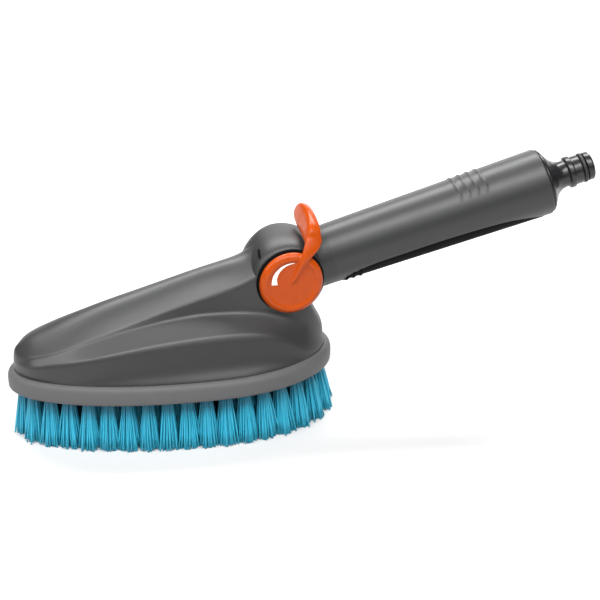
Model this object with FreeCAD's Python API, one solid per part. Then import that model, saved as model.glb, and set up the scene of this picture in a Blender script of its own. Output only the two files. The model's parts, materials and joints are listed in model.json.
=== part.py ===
"""Hand-held water brush for wheels and bodywork, with a thumb lever that meters the flow.

Working frame, in millimetres: x runs from the front tip of the bumper (0) back towards the handle, y is
across the brush with -y on the dial's side, and z is up from the bristle tips (0). The handle's own axis
starts at the valve's centre and rises by HANDLE_TILT; distances along it are called s. Every node is moved at
the end, so that the origin lies in the middle of the brush's footprint box, on the surface it stands on.
"""
import FreeCAD
import Part
import math
import os

V = FreeCAD.Vector

# ---- head ------------------------------------------------------------------------------------------------
FRONT_LEN = 111.0          # front half-ellipse of the egg-shaped outline, along x
REAR_LEN = 66.0            # rear half-ellipse of the outline, along x
HALF_WIDTH = 43.0          # widest half-width, where the two half-ellipses meet
BRISTLE_LEN = 28.0         # free bristle below the bumper
RIM_TOP = 38.5             # top edge of the bumper
BUMPER_BOTTOM = 27.6
BUMPER_WALL = 4.2          # how far the bumper reaches in from the outline
BUMPER_LIP = 1.0           # how much further its lower lip reaches, under the plate
PLATE_BOTTOM = 28.5
PLATE_TOP = 33.5
SKIN = 2.4                 # wall of the moulded shells
SHELL_INSET = 4.4          # side of the shell and plate, from the outline

# ---- valve and handle ------------------------------------------------------------------------------------
VALVE_X = 151.2
VALVE_Z = 80.9
HANDLE_TILT = 14.15        # degrees above the horizontal
HOUSING_R = 22.2
HOUSING_HALF = 16.5        # half-width of the valve housing, across y
CHAMBER_R = 12.0           # cross bore that takes the valve body
CAP_R = 16.2               # cap that closes the far side
PLUG_R = 9.0
RUNNING = 0.05             # radial clearance of the turning plug
PORT_R = 6.5               # bore for the duct, on the outlet side
WATER_R = 4.5              # water way through the valve
DIAL_R = 17.4
DIAL_BACK = -17.3          # y of the dial's back
DIAL_FACE = -21.6          # y of the dial's rim
LEVER_LEAN = 24.0          # degrees the thumb paddle leans back from the vertical
HANDLE_START = 26.0        # s where the handle shell starts
HANDLE_END = 151.0
HANDLE_R0 = 16.2           # outer radius of the handle shell at its start
HANDLE_R1 = 18.5           # and at its end
TUBE_R = 7.0               # outer radius of the water tube in the handle
INLET_R = 5.0              # water inlet bore
STRAINER_R = 4.6           # narrower bore behind it, where the strainer sits
NECK_R = 7.4
COLLAR_R = 8.85            # ridge that a hose connector latches behind
BARREL_R = 8.0
NIPPLE_END = 180.0         # s of the nipple's mouth

# ---- bristles --------------------------------------------------------------------------------------------
TUFT_PITCH = 10.4
ROW_INSETS = (8.6, 17.2, 25.8, 34.6)    # rows of tufts, in from the outline
ROW_SPLAYS = (3.4, 2.2, 1.0, 0.0)       # how far each row's tips lean outwards
TUFT_ROOT_R = 2.8
TUFT_TIP_R = 4.2
TUFT_SET = 3.6             # depth of a tuft in the plate
NOSE_SPLAY = 0.15          # share of the lean at the nose
TAIL_SPLAY = 1.30          # and at the tail

# ---- fasteners and jets ----------------------------------------------------------------------------------
PLATE_SCREWS = ((30.0, 0.0), (106.0, 21.5), (106.0, -21.5), (159.0, 0.0))
SCREW_R = 1.5
SCREW_HEAD_R = 3.0
ROSE_X = 72.0
ROSE_R = 8.8

# ---- thumb paddle, ribs and soft strip -------------------------------------------------------------------
# The paddle's edge, as (y, distance from the valve's axis): from the neck, out over the dome and back.
LEAF = ((-18.8, 24.4), (-15.8, 32.4), (-9.0, 35.9), (1.0, 37.4), (9.0, 36.6), (14.5, 33.8), (16.8, 29.8),
        (14.5, 26.6), (8.0, 24.7), (0.0, 23.8), (-9.0, 23.0), (-15.6, 22.6))
LEAF_FRONT = -2.0          # the paddle's face, before its middle plane
LEAF_BACK = 2.6            # and its back, behind that plane
RIB_PLACES = (101.6, 106.6, 111.6, 116.6)
RIB_R = 0.85
RIB_HALF_TURN = 46.0       # degrees that a rib runs down each side from the top
STRIP_S0 = 27.5
STRIP_S1 = 148.5
STRIP_DEPTH = 1.5
STRIP_GROOVES = (33.0, 37.0, 41.0)

TILT = math.radians(HANDLE_TILT)
AXIS = V(math.cos(TILT), 0, math.sin(TILT))
VALVE = V(VALVE_X, 0, VALVE_Z)
CROSS = V(0, 1, 0)
UP = V(0, 0, 1)
LENGTH = VALVE_X + NIPPLE_END * math.cos(TILT) + (BARREL_R - 1.2) * math.sin(TILT)


# ---- small helpers ---------------------------------------------------------------------------------------
def along(s):
    """The point on the handle's axis at distance s from the valve's centre."""
    return VALVE + AXIS * s


def rod(radius, s0, s1):
    """A solid cylinder on the handle's axis."""
    return Part.makeCylinder(radius, s1 - s0, along(s0), AXIS)


def drum(radius, y0, y1, centre=VALVE):
    """A solid cylinder across the brush, on the valve's axis unless a centre is given."""
    return Part.makeCylinder(radius, y1 - y0, V(centre.x, y0, centre.z), CROSS)


def post(radius, x, y, z0, z1):
    """A solid upright cylinder."""
    return Part.makeCylinder(radius, z1 - z0, V(x, y, z0), UP)


def turned(outline):
    """A solid turned about the handle's axis from (s, radius) points."""
    wire = Part.makePolygon([V(s, 0, r) for s, r in outline + outline[:1]])
    solid = Part.Face(wire).revolve(V(0, 0, 0), V(1, 0, 0), 360)
    return on_handle(solid)


def on_handle(shape):
    """Moves a shape made along +x at the origin onto the handle's axis."""
    shape = shape.copy()
    tilted = FreeCAD.Placement(VALVE, FreeCAD.Rotation(CROSS, -HANDLE_TILT))
    shape.Placement = tilted.multiply(shape.Placement)
    return shape


def ring(major, minor, centre, axis):
    """An O-ring."""
    return Part.makeTorus(major, minor, centre, axis)


def fused(first, *others):
    return first.fuse(list(others)).removeSplitter()


def cut(base, *tools):
    return base.cut(list(tools))


# ---- the head's outline ----------------------------------------------------------------------------------
def egg(z, side, front=None, rear=None):
    """The outline at height z, drawn in by side, front and rear from the bumper's outside."""
    front = side if front is None else front
    rear = side if rear is None else rear
    centre = V(FRONT_LEN, 0, z)
    wide = HALF_WIDTH - side
    nose = Part.ArcOfEllipse(Part.Ellipse(centre, FRONT_LEN - front, wide), math.pi / 2, 3 * math.pi / 2)
    tail = Part.ArcOfEllipse(Part.Ellipse(centre, REAR_LEN - rear, wide), -math.pi / 2, math.pi / 2)
    return Part.Wire([nose.toShape(), tail.toShape()])


def slab(inset, z0, z1):
    """The outline drawn in by inset, as a solid from z0 to z1."""
    return Part.Face(egg(z0, inset)).extrude(V(0, 0, z1 - z0))


def outline_point(inset, angle):
    """A point on the outline drawn in by inset; the angle goes round from the rear."""
    reach = (REAR_LEN if math.cos(angle) > 0 else FRONT_LEN) - inset
    return V(FRONT_LEN + reach * math.cos(angle), (HALF_WIDTH - inset) * math.sin(angle), 0)


# ---- the head's sculpted form ----------------------------------------------------------------------------
# The flank stands on the rim: (height, side inset, front inset, rear inset).
FLANK = ((RIM_TOP, 4.4, 4.4, 4.4), (46.0, 9.2, 5.0, 9.0), (54.0, 11.6, 6.4, 13.0), (66.0, 13.0, 9.0, 17.0))
# The shelf is an arched roof: (x, height on the centre line, fall per square millimetre across).
SHELF = ((-6, 41.0, 0.020), (12, 52.0, 0.020), (29, 60.6, 0.018), (50, 64.0, 0.0130), (78, 69.0, 0.0125),
         (104, 71.2, 0.0130), (124, 70.4, 0.0130), (140, 69.6, 0.0185), (157, 66.0, 0.0320),
         (168, 52.0, 0.0300), (180, 35.0, 0.0250))
# The spine carries the water way: (x, crest height, half-width at the crease, crease height).
SPINE = ((3.5, 43.5, 10.0, 38.0), (7.5, 51.5, 14.5, 43.0), (15, 56.8, 17.8, 48.0), (28, 62.6, 18.8, 55.4),
         (50, 70.8, 18.0, 60.0), (78, 78.8, 16.4, 68.2), (104, 85.8, 15.6, 74.8), (124, 91.2, 15.8, 80.4),
         (138, 95.6, 16.0, 85.5), (152, 94.0, 16.0, 84.0), (163, 78.0, 15.6, 69.0), (170, 56.0, 14.5, 49.0))
WALL_DRAFT = 0.14          # outward lean of the spine's side walls


def flank_form(skin):
    """The body's sides, from the plate up, drawn in by skin."""
    wires = [egg(z, side + skin, front + skin, rear + skin) for z, side, front, rear in FLANK]
    foot = slab(SHELL_INSET + skin, PLATE_TOP, RIM_TOP)
    return fused(foot, Part.makeLoft(wires, True, False))


def above_shelf(skin):
    """Everything above the shelf, drawn in by skin."""
    sections = []
    for x, middle, fall in SHELF:
        spread = [V(x, y, middle - skin - fall * y * y) for y in (-50, -30, -15, 0, 15, 30, 50)]
        roof = Part.BSplineCurve()
        roof.interpolate(spread)
        high = [V(x, 50, 140), V(x, -50, 140)]
        corners = [spread[-1], *high, spread[0]]
        sides = [Part.LineSegment(a, b).toShape() for a, b in zip(corners, corners[1:])]
        sections.append(Part.Wire([roof.toShape(), *sides]))
    return Part.makeLoft(sections, True, False)


def spine_form(skin):
    """The ridge from the nose to the valve, drawn in by skin."""
    sections = []
    foot_z = PLATE_TOP
    for x, crest, half, crease in SPINE:
        half, crease, rise = half - skin, crease - skin, crest - crease
        side_y = half + (crease - foot_z) * WALL_DRAFT
        top = Part.BSplineCurve()
        top.interpolate([V(x, half, crease), V(x, 0.7 * half, crease + 0.66 * rise), V(x, 0, crest - skin),
                         V(x, -0.7 * half, crease + 0.66 * rise), V(x, -half, crease)])
        corners = [V(x, -half, crease), V(x, -side_y, foot_z), V(x, side_y, foot_z), V(x, half, crease)]
        sides = [Part.LineSegment(a, b).toShape() for a, b in zip(corners, corners[1:])]
        sections.append(Part.Wire([top.toShape(), *sides]))
    return Part.makeLoft(sections, True, False)


def tall_flank(skin):
    """The outline carried straight up, which keeps the spine's foot inside the body at the nose."""
    rings = ((PLATE_TOP, skin), (120, skin + 3))
    top = [egg(z, 5.2 + lean, 4.4 + lean, 5.2 + lean) for z, lean in rings]
    return Part.makeLoft(top, True, True)


def head_form(skin):
    """The whole outside of the head's shell for skin 0, and its hollow for the wall's thickness."""
    low = flank_form(skin).cut(above_shelf(skin))
    return fused(low, spine_form(skin).common(tall_flank(skin)))


# ---- head parts ------------------------------------------------------------------------------------------
def make_head_shell():
    shell = head_form(0.0).cut(head_form(SKIN))
    saddle = drum(HOUSING_R + SKIN, -HOUSING_HALF, HOUSING_HALF).common(head_form(0.0))
    bosses = [post(3.6, x, y, PLATE_TOP, 62).common(head_form(0.0)) for x, y in PLATE_SCREWS]
    pads = [post(4.2, x, 0, 55.5, 62) for x in housing_screw_xs()]
    shell = fused(shell, saddle, *bosses, *pads)
    holes = [post(SCREW_R, x, y, PLATE_TOP, 44.5) for x, y in PLATE_SCREWS]
    holes += [post(SCREW_R, x, 0, 50, 70) for x in housing_screw_xs()]
    dial_recess = drum(DIAL_R + 2.2, -HALF_WIDTH, -HOUSING_HALF + 1.0)
    far_recess = drum(DIAL_R + 2.2, HOUSING_HALF - 1.0, HALF_WIDTH)
    return cut(shell, housing_outside(), rod(PORT_R + 0.8, -46, -18), dial_recess, far_recess, *holes)


def make_bumper_ring():
    body = slab(0, BUMPER_BOTTOM, RIM_TOP)
    top = [e for e in body.Edges if e.BoundBox.ZMin > RIM_TOP - 0.01]
    bottom = [e for e in body.Edges if e.BoundBox.ZMax < BUMPER_BOTTOM + 0.01]
    body = body.makeFillet(3.4, top).makeFillet(1.2, bottom)
    inner = slab(BUMPER_WALL, PLATE_BOTTOM, RIM_TOP + 1)
    return cut(body, inner, slab(BUMPER_WALL + BUMPER_LIP, BUMPER_BOTTOM - 1, PLATE_BOTTOM + 1))


def make_bristle_plate():
    plate = slab(SHELL_INSET, PLATE_BOTTOM, PLATE_TOP)
    sockets = [post(TUFT_ROOT_R, x, y, PLATE_BOTTOM - 1, PLATE_BOTTOM + TUFT_SET)
               for places in tuft_places() for x, y, _, _ in places]
    groove = slab(5.4, PLATE_TOP - 1, PLATE_TOP + 1).cut(slab(6.8, PLATE_TOP - 2, PLATE_TOP + 2))
    screws = [post(SCREW_R, x, y, PLATE_BOTTOM - 1, PLATE_TOP + 1) for x, y in PLATE_SCREWS]
    heads = [post(SCREW_HEAD_R + 0.2, x, y, PLATE_BOTTOM - 1, PLATE_BOTTOM + 2.2) for x, y in PLATE_SCREWS]
    rose_hole = post(ROSE_R, ROSE_X, 0, PLATE_BOTTOM - 1, PLATE_TOP + 1)
    return cut(plate, groove, rose_hole, *sockets, *screws, *heads)


def make_plate_gasket():
    return slab(5.5, PLATE_TOP - 0.9, PLATE_TOP).cut(slab(6.7, PLATE_TOP - 2, PLATE_TOP + 1))


def pan_screw(x, y, seat, length):
    """A self-tapping screw whose head sits against height seat."""
    head = post(SCREW_HEAD_R, x, y, seat - 2.0, seat)
    cross = [Part.makeBox(3.6, 0.8, 1.2, V(x - 1.8, y - 0.4, seat - 2.0)),
             Part.makeBox(0.8, 3.6, 1.2, V(x - 0.4, y - 1.8, seat - 2.0))]
    shank = post(SCREW_R - 0.02, x, y, seat, seat + length - 2)
    tip = Part.makeCone(SCREW_R - 0.02, 0.4, 2, V(x, y, seat + length - 2), UP)
    return fused(head, shank, tip).cut(cross)


def make_plate_screws():
    seat = PLATE_BOTTOM + 2.2
    return Part.makeCompound([pan_screw(x, y, seat, 13) for x, y in PLATE_SCREWS])


def smooth(t):
    """An S-curve from 0 to 1."""
    t = min(1.0, max(0.0, t))
    return t * t * (3 - 2 * t)


def row_places(row):
    """Roots and tips evenly spaced round the outline for one row: (x, y, tip x, tip y)."""
    inset, splay = ROW_INSETS[row], ROW_SPLAYS[row]
    steps = 720
    points = [outline_point(inset, 2 * math.pi * i / steps) for i in range(steps + 1)]
    run = [0.0]
    for a, b in zip(points, points[1:]):
        run.append(run[-1] + a.distanceToPoint(b))
    count = max(2, round(run[-1] / TUFT_PITCH / 2) * 2)
    places = []
    for k in range(count):
        target = (k + 0.5 * (row % 2)) * run[-1] / count
        i = max(j for j in range(steps) if run[j] <= target)
        share = (target - run[i]) / (run[i + 1] - run[i])
        p = points[i] + (points[i + 1] - points[i]) * share
        out = (points[i + 1] - points[i]).cross(UP).normalize()
        lean = splay * (NOSE_SPLAY + (TAIL_SPLAY - NOSE_SPLAY) * smooth(p.x / VALVE_X))
        places.append((p.x, p.y, p.x + out.x * lean, p.y + out.y * lean))
    return places


def tuft_places():
    """Every row's tufts, without those over a screw or the rose, or too near to a tuft already placed."""
    rows, tips = [], []
    for row in range(len(ROW_INSETS)):
        kept = []
        for x, y, tip_x, tip_y in row_places(row):
            off_screws = all(math.hypot(x - a, y - b) > SCREW_HEAD_R + TUFT_ROOT_R + 0.6
                             for a, b in PLATE_SCREWS)
            off_rose = math.hypot(x - ROSE_X, y) > ROSE_R + TUFT_ROOT_R + 0.6
            apart = all(math.hypot(tip_x - a, tip_y - b) > 2 * TUFT_TIP_R + 0.1 for a, b in tips)
            if off_screws and off_rose and apart:
                kept.append((x, y, tip_x, tip_y))
                tips.append((tip_x, tip_y))
        rows.append(kept)
    return rows


def tuft(x, y, tip_x, tip_y):
    """One tuft: a set root and a bundle that fans out to the tips."""
    root = post(TUFT_ROOT_R, x, y, PLATE_BOTTOM, PLATE_BOTTOM + TUFT_SET)
    ends = [Part.Wire(Part.makeCircle(r, c, UP)) for r, c in ((TUFT_TIP_R, V(tip_x, tip_y, 0)),
                                                            (TUFT_ROOT_R, V(x, y, PLATE_BOTTOM)))]
    return root.fuse(Part.makeLoft(ends, True, True))


def make_tufts(row):
    return Part.makeCompound([tuft(*place) for place in tuft_places()[row]])


def duct_bend():
    """Corner of the duct's path, above the rose."""
    return V(ROSE_X, 0, VALVE_Z - (VALVE_X - ROSE_X) * math.tan(TILT))


def duct_solid(radius):
    """A round rod along the duct's path, from the valve to the rose."""
    corner, start, foot = duct_bend(), along(-CHAMBER_R - 0.6), V(ROSE_X, 0, PLATE_TOP + 2.0)
    bend = 15.0
    reach = bend * math.tan(math.radians(90 - HANDLE_TILT) / 2)
    a, b = corner + AXIS * reach, corner - UP * reach
    into, down = -AXIS, V(0, 0, -1)
    middle = corner + (AXIS - UP).normalize() * (math.hypot(reach, bend) - bend)
    path = Part.Wire([Part.LineSegment(start, a).toShape(), Part.Arc(a, middle, b).toShape(),
                      Part.LineSegment(b, foot).toShape()])
    profile = Part.Wire(Part.makeCircle(radius, start, into))
    return path.makePipeShell([profile], True, False)


def make_water_duct():
    groove = rod(PORT_R + 1, -18.6, -16.8).cut(rod(PORT_R - 1.1, -19, -16))
    return cut(duct_solid(PORT_R - 0.1), duct_solid(WATER_R), groove)


def make_duct_oring():
    return ring(5.75, 0.74, along(-17.7), AXIS)


def make_spray_rose():
    top = PLATE_TOP
    foot = post(ROSE_R - 0.1, ROSE_X, 0, PLATE_BOTTOM - 0.6, top)
    rose = fused(foot, post(8.2, ROSE_X, 0, top, top + 9))
    jets = [post(0.9, ROSE_X, 0, 20, 40)]
    for k in range(6):
        turn = math.pi * k / 3
        jets.append(post(0.9, ROSE_X + 3.4 * math.cos(turn), 3.4 * math.sin(turn), 20, 40))
    wide, narrow = post(PORT_R, ROSE_X, 0, top + 2, top + 10), post(5.2, ROSE_X, 0, top - 3, top + 3)
    return cut(rose, wide, narrow, *jets, ring(6.6, 0.86, V(ROSE_X, 0, top + 5.5), UP))


def make_rose_oring():
    return ring(6.6, 0.84, V(ROSE_X, 0, PLATE_TOP + 5.5), UP).cut(duct_solid(PORT_R - 0.1))


# ---- valve parts -----------------------------------------------------------------------------------------
def housing_screw_xs():
    return VALVE_X - 12.0, VALVE_X - 1.0


def housing_outside():
    """The valve housing's outer form: a rounded drum with the handle's socket behind it."""
    body = drum(HOUSING_R, -HOUSING_HALF, HOUSING_HALF)
    rims = [e for e in body.Edges if e.Curve.TypeId == "Part::GeomCircle"]
    body = body.makeFillet(4.8, rims)
    neck = Part.makeCone(HANDLE_R0 - 0.3, HANDLE_R0, HANDLE_START - 4, along(4), AXIS)
    return fused(body, neck)


def make_valve_housing():
    body = housing_outside()
    pocket = drum(CAP_R + 0.15, -HOUSING_HALF + 3.6, HOUSING_HALF + 1).cut(
        drum(CHAMBER_R + SKIN, -HOUSING_HALF, HOUSING_HALF + 2))
    hollow = rod(HANDLE_R0 - SKIN - 0.6, HOUSING_R - SKIN, HANDLE_START + 1)
    body = body.cut(pocket.fuse(hollow.cut(drum(CHAMBER_R + SKIN, -HOUSING_HALF, HOUSING_HALF + 2))))
    spigot = rod(HANDLE_R0 - SKIN - 0.25, HOUSING_R - 3, HANDLE_START + 12).cut(
        rod(HANDLE_R0 - 2 * SKIN, 0, HANDLE_START + 13))
    outlet = rod(PORT_R + 2.2, -HOUSING_R + 2.2, 0)
    inlet = rod(TUBE_R + 2.0, 0, HANDLE_START + 4)
    inside = drum(HOUSING_R - 0.5, -HOUSING_HALF, HOUSING_HALF)
    posts = [post(3.6, x, 0, VALVE_Z - HOUSING_R, VALVE_Z - CHAMBER_R - 1) for x in housing_screw_xs()]
    body = fused(body, spigot, outlet, inlet, *[p.common(inside) for p in posts])
    bores = [drum(CHAMBER_R, -HOUSING_HALF - 1, HOUSING_HALF + 1), rod(PORT_R, -HOUSING_R - 2, 0),
             rod(TUBE_R, CHAMBER_R + 2, HANDLE_START + 5), rod(WATER_R, 0, CHAMBER_R + 3),
             drum(CAP_R + 0.15, HOUSING_HALF - 2.6, HOUSING_HALF + 1)]
    screws = [post(SCREW_R, x, 0, 50, 68) for x in housing_screw_xs()]
    return cut(body, *bores, *screws)


def make_housing_screws():
    return Part.makeCompound([pan_screw(x, 0, 55.5, 12) for x in housing_screw_xs()])


def make_far_cap():
    cap = drum(CAP_R, HOUSING_HALF - 2.5, HOUSING_HALF + 0.4)
    face = [e for e in cap.Edges if e.BoundBox.YMin > HOUSING_HALF]
    cap = cap.makeFillet(1.2, face)
    skirt = drum(CHAMBER_R - 0.1, HOUSING_HALF - 4, HOUSING_HALF - 2).cut(
        drum(CHAMBER_R - 1.6, HOUSING_HALF - 5, HOUSING_HALF - 1))
    return fused(cap, skirt)


def make_valve_body():
    sleeve = drum(CHAMBER_R - 0.02, -HOUSING_HALF + 0.6, 10.4)
    flange = drum(CHAMBER_R - 0.02, -HOUSING_HALF + 0.6, -HOUSING_HALF + 2)
    body = fused(sleeve, flange)
    bore = drum(PLUG_R + RUNNING, -HOUSING_HALF, 11)
    return cut(body, bore, rod(WATER_R, -CHAMBER_R - 1, CHAMBER_R + 1))


def make_valve_plug():
    plug = drum(PLUG_R, -13.5, 10.4)
    journal = drum(4.0, 10.4, 13.8)
    plug = fused(plug, journal)
    grooves = [drum(PLUG_R + 1, y - 1.0, y + 1.0).cut(drum(PLUG_R - 1.6, y - 2, y + 2)) for y in (-9.5, 7.6)]
    clip = drum(5, 12.0, 12.9).cut(drum(3.2, 11, 14))
    socket = Part.makeBox(7.1, 8, 7.1, V(VALVE_X - 3.55, -14, VALVE_Z - 3.55))
    return cut(plug, rod(WATER_R - 0.3, -PLUG_R - 1, PLUG_R + 1), socket, clip, *grooves)


def make_plug_orings():
    return Part.makeCompound([ring(8.23, 0.78, V(VALVE_X, y, VALVE_Z), CROSS) for y in (-9.5, 7.6)])


def make_thrust_washer():
    return drum(9.6, 10.45, 11.35).cut(drum(4.1, 10, 12))


def make_retaining_clip():
    clip = drum(5.6, 12.05, 12.85).cut(drum(3.22, 12, 13))
    return clip.cut(Part.makeBox(3.6, 2, 8, V(VALVE_X - 1.8, 11.5, VALVE_Z - 8)))


def paddle():
    """The thumb paddle's leaf, standing out from the valve's axis in the y-z plane."""
    edge = Part.BSplineCurve()
    edge.interpolate([V(LEAF_FRONT, y, r) for y, r in LEAF], PeriodicFlag=True)
    return Part.Face(Part.Wire(edge.toShape())).extrude(V(LEAF_BACK - LEAF_FRONT, 0, 0))


def paddle_arm():
    """The arm that climbs the dial's face and turns in over the housing's shoulder."""
    side = [V(0, DIAL_FACE + 1.2, 1), V(0, DIAL_FACE - 1.2, 6), V(0, DIAL_FACE - 1.6, 13),
            V(0, DIAL_FACE - 0.8, 20), V(0, -19.8, 26), V(0, -15.2, 27.4), V(0, -14.6, 23.4),
            V(0, DIAL_BACK, 20.2), V(0, DIAL_BACK, 1)]
    arm = Part.Face(Part.makePolygon(side + side[:1])).extrude(V(5.0, 0, 0))
    arm.translate(V(-2.5, 0, 0))
    return arm


def make_dial_lever():
    disc = drum(DIAL_R, DIAL_FACE, DIAL_BACK)
    rim = [e for e in disc.Edges if e.BoundBox.YMax < DIAL_FACE + 0.01]
    disc = disc.makeFillet(1.9, rim)
    dish = drum(DIAL_R - 2.9, DIAL_FACE - 1, DIAL_FACE + 0.9)
    stub = Part.makeBox(7.0, 7.4, 7.0, V(VALVE_X - 3.5, DIAL_BACK - 1.0, VALVE_Z - 3.5))
    place = FreeCAD.Placement(VALVE, FreeCAD.Rotation(CROSS, LEVER_LEAN))
    blade, arm = paddle(), paddle_arm()
    blade.Placement = place
    arm.Placement = place
    return disc.cut(dish).fuse([arm, blade, stub])


def make_flow_mark():
    """A tapering crescent, thin towards shut and thick towards full flow, inlaid in the dial's dish."""
    face_y = DIAL_FACE + 0.9
    outer, thick = 12.2, 2.8
    turns = [math.radians(84 + 92 * k / 6) for k in range(7)]
    edge = [V(VALVE_X + outer * math.cos(t), face_y, VALVE_Z + outer * math.sin(t)) for t in turns]
    inside = [V(VALVE_X + (outer - 0.3 - thick * k / 6) * math.cos(t), face_y,
                VALVE_Z + (outer - 0.3 - thick * k / 6) * math.sin(t)) for k, t in enumerate(turns)]
    curves = []
    for points in (edge, inside[::-1]):
        line = Part.BSplineCurve()
        line.interpolate(points)
        curves.append(line.toShape())
    ends = [Part.LineSegment(edge[-1], inside[-1]).toShape(), Part.LineSegment(inside[0], edge[0]).toShape()]
    wire = Part.Wire([curves[0], ends[0], curves[1], ends[1]])
    return Part.Face(wire).extrude(V(0, -0.3, 0))


# ---- handle parts ----------------------------------------------------------------------------------------
def handle_radius(s):
    return HANDLE_R0 + (HANDLE_R1 - HANDLE_R0) * (s - HANDLE_START) / (HANDLE_END - HANDLE_START)


def handle_cone(s0, s1, inset=0.0):
    """The handle's outer form between two stations, drawn in by inset."""
    return Part.makeCone(handle_radius(s0) - inset, handle_radius(s1) - inset, s1 - s0, along(s0), AXIS)


def strip_region(s0, s1, lower):
    """The part of the handle below the soft strip's edge, which sweeps up from both ends."""
    edge = [V(s0, 0, -15), V(s0 + 9, 0, -7.5), V(s0 + 35, 0, -5.8), V(s1 - 45, 0, -6.6), V(s1 - 14, 0, -11),
            V(s1, 0, -19)]
    line = Part.BSplineCurve()
    line.interpolate([p + V(0, 0, -lower) for p in edge])
    first, last = edge[0] + V(0, 0, -lower), edge[-1] + V(0, 0, -lower)
    corners = [last, V(s1, 0, -40), V(s0, 0, -40), first]
    sides = [Part.LineSegment(a, b).toShape() for a, b in zip(corners, corners[1:])]
    face = Part.Face(Part.Wire([line.toShape(), *sides]))
    face.translate(V(0, -30, 0))
    return on_handle(face.extrude(V(0, 60, 0)))


def rib(s, height, half_turn):
    """A raised rib over the top of the handle, with round ends."""
    radius = handle_radius(s) - 0.25
    hoop = Part.makeTorus(radius, height, V(0, 0, 0), UP, -180, 180, 2 * half_turn)
    hoop.rotate(V(0, 0, 0), UP, -half_turn)
    hoop.rotate(V(0, 0, 0), CROSS, -90)
    hoop.translate(V(s, 0, 0))
    turn = math.radians(half_turn)
    ends = [V(s, side * radius * math.sin(turn), radius * math.cos(turn)) for side in (-1, 1)]
    return [on_handle(hoop)] + [on_handle(Part.makeSphere(height, end)) for end in ends]


def make_handle_shell():
    shell = handle_cone(HANDLE_START, HANDLE_END)
    shell = shell.cut(handle_cone(HANDLE_START - 1, HANDLE_END + 1, SKIN))
    bed = handle_cone(STRIP_S0, STRIP_S1, -1).cut(handle_cone(STRIP_S0 - 1, STRIP_S1 + 1, STRIP_DEPTH + 0.1))
    shell = shell.cut(bed.common(strip_region(STRIP_S0, STRIP_S1, 0)))
    pieces = []
    for s in RIB_PLACES:
        pieces += rib(s, RIB_R, RIB_HALF_TURN)
    shell = fused(shell, *pieces)
    return shell.cut(handle_cone(HANDLE_START + 60, HANDLE_END - 10, SKIN))


def make_grip_strip():
    layer = handle_cone(STRIP_S0, STRIP_S1, -0.25).cut(handle_cone(STRIP_S0 - 1, STRIP_S1 + 1, STRIP_DEPTH))
    strip = layer.common(strip_region(STRIP_S0 + 0.15, STRIP_S1 - 0.15, 0.15))
    grooves = [ring(handle_radius(s) + 0.55, 1.15, along(s), AXIS) for s in STRIP_GROOVES]
    return strip.cut(grooves)


def make_inner_tube():
    tube = rod(TUBE_R - 0.02, CHAMBER_R + 2.2, 146.5).cut(rod(INLET_R, 0, 160))
    grooves = [rod(TUBE_R + 1, s - 1.0, s + 1.0).cut(rod(TUBE_R - 1.2, s - 2, s + 2)) for s in (25.0, 143.5)]
    return cut(tube, *grooves)


def make_tube_orings():
    return Part.makeCompound([ring(6.4, 0.58, along(s), AXIS) for s in (25.0, 143.5)])


def make_hose_nipple():
    """Black end piece: the flared cap that closes the handle and the standard push-on hose nipple."""
    flare = [(HANDLE_END, HANDLE_R1 - SKIN - 0.1), (HANDLE_END, HANDLE_R1 - 0.15)]
    flare.append((HANDLE_END + 1.6, HANDLE_R1 - 0.3))
    turns = 8
    for k in range(turns):
        t = math.pi / 2 * k / turns
        shrink = math.sqrt((1 - math.sin(t)) * math.cos(t))
        flare.append((HANDLE_END + 2.6 + 8.4 * math.sin(t), NECK_R + (HANDLE_R1 - 1.6 - NECK_R) * shrink))
    flare.append((HANDLE_END + 11.0, NECK_R))
    nose = [(164.6, NECK_R), (165.4, COLLAR_R), (168.0, COLLAR_R), (168.3, BARREL_R), (172.9, BARREL_R),
            (172.9, BARREL_R - 1.9), (176.0, BARREL_R - 1.9), (176.0, BARREL_R), (178.8, BARREL_R),
            (NIPPLE_END, BARREL_R - 1.2)]
    inside = [(NIPPLE_END, INLET_R), (158.0, INLET_R), (158.0, STRAINER_R), (147.0, STRAINER_R), (147.0, TUBE_R),
              (138.0, TUBE_R), (138.0, TUBE_R + 2.2), (149.0, TUBE_R + 2.2), (149.0, 13.4), (143.0, 13.9),
              (143.0, handle_radius(143) - SKIN - 0.1)]
    return turned(flare + nose + inside)


def make_nipple_oring():
    return ring(BARREL_R - 0.78, 1.1, along(174.45), AXIS)


def make_inlet_strainer():
    disc = rod(STRAINER_R, 155.8, 157.4)
    holes = []
    for k in range(6):
        turn = math.pi * k / 3
        upright = V(-math.sin(TILT), 0, math.cos(TILT))
        offset = upright * (2.8 * math.cos(turn)) + CROSS * (2.8 * math.sin(turn))
        holes.append(Part.makeCylinder(0.8, 4, along(154.6) + offset, AXIS))
    return cut(disc, Part.makeCylinder(0.8, 4, along(154.6), AXIS), *holes)


# ---- write every node ------------------------------------------------------------------------------------
NODES = {
    "head_shell": make_head_shell, "bumper_ring": make_bumper_ring, "bristle_plate": make_bristle_plate,
    "plate_gasket": make_plate_gasket, "plate_screws": make_plate_screws, "spray_rose": make_spray_rose,
    "rose_oring": make_rose_oring, "water_duct": make_water_duct, "duct_oring": make_duct_oring,
    "valve_housing": make_valve_housing, "housing_screws": make_housing_screws, "far_cap": make_far_cap,
    "valve_body": make_valve_body, "valve_plug": make_valve_plug, "plug_orings": make_plug_orings,
    "thrust_washer": make_thrust_washer, "retaining_clip": make_retaining_clip, "dial_lever": make_dial_lever,
    "flow_mark": make_flow_mark, "handle_shell": make_handle_shell, "grip_strip": make_grip_strip,
    "inner_tube": make_inner_tube, "tube_orings": make_tube_orings, "hose_nipple": make_hose_nipple,
    "nipple_oring": make_nipple_oring, "inlet_strainer": make_inlet_strainer,
}


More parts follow.
